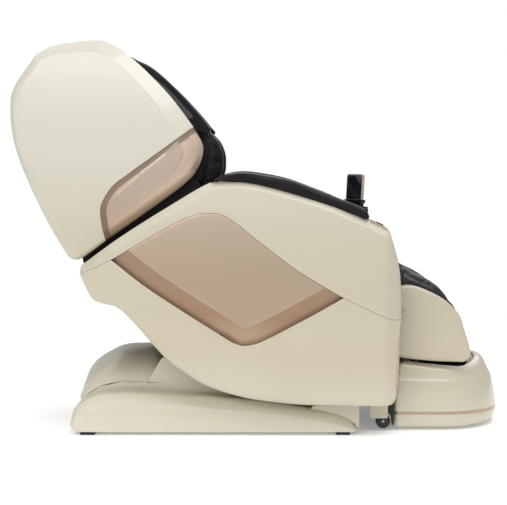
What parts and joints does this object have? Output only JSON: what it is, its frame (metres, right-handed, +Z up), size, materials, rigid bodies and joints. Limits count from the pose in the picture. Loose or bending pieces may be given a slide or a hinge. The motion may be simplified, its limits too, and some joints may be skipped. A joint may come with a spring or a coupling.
{
  "type": "massage chair",
  "caption": "Reclining zero-gravity massage chair: winged shell back, padded arms, moving roller carriage, sliding tilting seat, leg rest with extending foot unit, and a handset on a stand.",
  "frame": {"origin": "middle of the footprint on the floor", "axes": "+X towards the foot rest, +Y to the sitter's left, +Z up"},
  "size_m": [1.5851, 0.84, 1.22],
  "materials": {
    "cream_shell": "pearl ivory lacquer, glossy",
    "bronze_trim": "satin metallic rose-bronze lacquer",
    "leather": "soft grained, black-brown, stitched",
    "gloss_black": "high gloss",
    "steel": "dark grey powder coat",
    "motor_case": "matt moulded",
    "rubber": "matt",
    "roller": "matt moulded"
  },
  "bodies": {
    "base": {"base_frame": "steel", "base_skirt": "cream_shell", "base_rear_cover": "cream_shell", "floor_bar_front": "rubber", "floor_bar_rear": "rubber", "power_supply": "motor_case"},
    "wheel_left": {"transport_wheel_left": "rubber"},
    "wheel_right": {"transport_wheel_right": "rubber"},
    "carriage": {"slide_carriage": "steel"},
    "tilt_motor": {"tilt_actuator_motor": "motor_case"},
    "tilt_rod": {"tilt_actuator_rod": "steel"},
    "seat": {"seat_frame": "steel", "seat_cushion": "leather", "air_pump": "motor_case", "arm_upper_shell_left": "cream_shell", "arm_upper_shell_right": "cream_shell", "arm_lower_shell_left": "cream_shell", "arm_lower_shell_right": "cream_shell", "arm_insert_left": "bronze_trim", "arm_insert_right": "bronze_trim", "arm_pad_left": "leather", "arm_pad_right": "leather", "arm_end_trim_left": "bronze_trim", "arm_end_trim_right": "bronze_trim"},
    "button_power": {"quick_button_power": "gloss_black"},
    "button_pause": {"quick_button_pause": "gloss_black"},
    "stand": {"remote_stand": "bronze_trim"},
    "cradle": {"remote_cradle": "gloss_black"},
    "handset": {"remote_handset": "gloss_black"},
    "key": {"remote_key": "bronze_trim"},
    "backrest": {"back_frame": "steel", "back_shell": "cream_shell", "wing_left": "cream_shell", "wing_right": "cream_shell", "wing_insert_left": "bronze_trim", "wing_insert_right": "bronze_trim", "hood_liner": "gloss_black", "shoulder_pad_left": "leather", "shoulder_pad_right": "leather", "back_pad": "leather"},
    "pillow": {"head_pillow": "leather"},
    "mechanism": {"massage_carriage": "motor_case"},
    "knead_left": {"knead_arm_left": "steel"},
    "knead_right": {"knead_arm_right": "steel"},
    "roller_left_upper": {"massage_roller_left_upper": "roller"},
    "roller_left_lower": {"massage_roller_left_lower": "roller"},
    "roller_right_upper": {"massage_roller_right_upper": "roller"},
    "roller_right_lower": {"massage_roller_right_lower": "roller"},
    "screw": {"lift_screw": "steel"},
    "legrest": {"leg_frame": "steel", "calf_shell_left": "cream_shell", "calf_shell_right": "cream_shell", "calf_cushion": "leather"},
    "leg_motor": {"leg_actuator_motor": "motor_case"},
    "leg_rod": {"leg_actuator_rod": "steel"},
    "foot": {"foot_upper_shell": "cream_shell", "foot_lower_shell": "cream_shell", "foot_cushion": "leather"},
    "foot_roller_rear": {"foot_roller_rear": "roller"},
    "foot_roller_front": {"foot_roller_front": "roller"}
  },
  "joints": [
    {"name": "seat_slide", "type": "slide", "parent": "base", "child": "carriage", "axis": [1, 0, 0], "range_m": [0, 0.16]},
    {"name": "seat_tilt", "type": "hinge", "parent": "carriage", "child": "seat", "pos_m": [-0.205, 0, 0.324], "axis": [0, -1, 0], "range_deg": [0, 10]},
    {"name": "back_recline", "type": "hinge", "parent": "seat", "child": "backrest", "pos_m": [-0.236, 0, 0.197], "axis": [0, -1, 0], "range_deg": [0, 35]},
    {"name": "leg_lift", "type": "hinge", "parent": "seat", "child": "legrest", "pos_m": [0.433, 0, 0.463], "axis": [0, -1, 0], "range_deg": [0, 80]},
    {"name": "foot_extend", "type": "slide", "parent": "legrest", "child": "foot", "axis": [0.3746, 0, -0.9272], "range_m": [0, 0.12]},
    {"name": "foot_roller_rear_spin", "type": "hinge", "parent": "foot", "child": "foot_roller_rear", "pos_m": [0.555, 0, 0.056], "axis": [0, 1, 0], "continuous": true},
    {"name": "foot_roller_front_spin", "type": "hinge", "parent": "foot", "child": "foot_roller_front", "pos_m": [0.64, 0, 0.056], "axis": [0, 1, 0], "continuous": true},
    {"name": "tilt_motor_swing", "type": "hinge", "parent": "carriage", "child": "tilt_motor", "pos_m": [-0.02, 0, 0.185], "axis": [0, -1, 0], "range_deg": [0, 12]},
    {"name": "tilt_rod_slide", "type": "slide", "parent": "tilt_motor", "child": "tilt_rod", "axis": [0.7727, 0, 0.6347], "range_m": [0, 0.045]},
    {"name": "leg_motor_swing", "type": "hinge", "parent": "seat", "child": "leg_motor", "pos_m": [0.1, -0.1, 0.205], "axis": [0, -1, 0], "range_deg": [-5, 0]},
    {"name": "leg_rod_slide", "type": "slide", "parent": "leg_motor", "child": "leg_rod", "axis": [0.8371, 0, 0.547], "range_m": [0, 0.085]},
    {"name": "mechanism_travel", "type": "slide", "parent": "backrest", "child": "mechanism", "axis": [-0.342, 0, 0.9397], "range_m": [-0.08, 0.33]},
    {"name": "screw_spin", "type": "hinge", "parent": "backrest", "child": "screw", "pos_m": [-0.31681, 0, 0.16759], "axis": [-0.342, 0, 0.9397], "range_deg": [-500, 2000]},
    {"name": "knead_left_swing", "type": "hinge", "parent": "mechanism", "child": "knead_left", "pos_m": [-0.41573, 0.083, 0.68496], "axis": [0, -1, 0], "range_deg": [-6, 6]},
    {"name": "knead_right_swing", "type": "hinge", "parent": "mechanism", "child": "knead_right", "pos_m": [-0.41573, -0.083, 0.68496], "axis": [0, -1, 0], "range_deg": [-6, 6]},
    {"name": "roller_left_upper_spin", "type": "hinge", "parent": "knead_left", "child": "roller_left_upper", "pos_m": [-0.40532, 0.064, 0.74408], "axis": [0, 1, 0], "continuous": true},
    {"name": "roller_left_lower_spin", "type": "hinge", "parent": "knead_left", "child": "roller_left_lower", "pos_m": [-0.36975, 0.064, 0.64635], "axis": [0, 1, 0], "continuous": true},
    {"name": "roller_right_upper_spin", "type": "hinge", "parent": "knead_right", "child": "roller_right_upper", "pos_m": [-0.40532, -0.064, 0.74408], "axis": [0, 1, 0], "continuous": true},
    {"name": "roller_right_lower_spin", "type": "hinge", "parent": "knead_right", "child": "roller_right_lower", "pos_m": [-0.36975, -0.064, 0.64635], "axis": [0, 1, 0], "continuous": true},
    {"name": "pillow_flip", "type": "hinge", "parent": "backrest", "child": "pillow", "pos_m": [-0.41329, 0, 1.11684], "axis": [0, -1, 0], "range_deg": [0, 60]},
    {"name": "wheel_left_spin", "type": "hinge", "parent": "base", "child": "wheel_left", "pos_m": [0.402, 0.258, 0.03], "axis": [0, 1, 0], "continuous": true},
    {"name": "wheel_right_spin", "type": "hinge", "parent": "base", "child": "wheel_right", "pos_m": [0.402, -0.258, 0.03], "axis": [0, 1, 0], "continuous": true},
    {"name": "power_press", "type": "slide", "parent": "seat", "child": "button_power", "axis": [-0.4226, 0, -0.9063], "range_m": [0, 0.0015], "stiffness_N_per_m": 800, "springref_m": -0.001},
    {"name": "pause_press", "type": "slide", "parent": "seat", "child": "button_pause", "axis": [-0.4226, 0, -0.9063], "range_m": [0, 0.0015], "stiffness_N_per_m": 800, "springref_m": -0.001},
    {"name": "stand_swivel", "type": "hinge", "parent": "seat", "child": "stand", "pos_m": [0.38, 0.35, 0.684], "axis": [0, 0, 1], "range_deg": [-20, 20]},
    {"name": "cradle_tilt", "type": "hinge", "parent": "stand", "child": "cradle", "pos_m": [0.36062, 0.36162, 0.70956], "axis": [0.7071, -0.7071, 0], "range_deg": [-10, 10]},
    {"name": "handset_lift", "type": "slide", "parent": "cradle", "child": "handset", "axis": [0.0616, 0.0616, 0.9962], "range_m": [0, 0.1]},
    {"name": "key_press", "type": "slide", "parent": "handset", "child": "key", "axis": [0.7044, 0.7044, -0.0872], "range_m": [0, 0.001], "stiffness_N_per_m": 400, "springref_m": -0.001}
  ],
  "couplings": [
    {"joint": "seat_slide", "follows": "back_recline", "m_per_rad": 0.2615},
    {"joint": "tilt_motor_swing", "follows": "seat_tilt", "ratio": 1.158},
    {"joint": "tilt_rod_slide", "follows": "seat_tilt", "m_per_rad": 0.2288},
    {"joint": "leg_motor_swing", "follows": "leg_lift", "ratio": -0.047},
    {"joint": "leg_rod_slide", "follows": "leg_lift", "m_per_rad": 0.05882},
    {"joint": "screw_spin", "follows": "mechanism_travel", "rad_per_m": 104.72},
    {"joint": "knead_right_swing", "follows": "knead_left_swing", "ratio": -1},
    {"joint": "foot_roller_front_spin", "follows": "foot_roller_rear_spin", "ratio": 1}
  ]
}
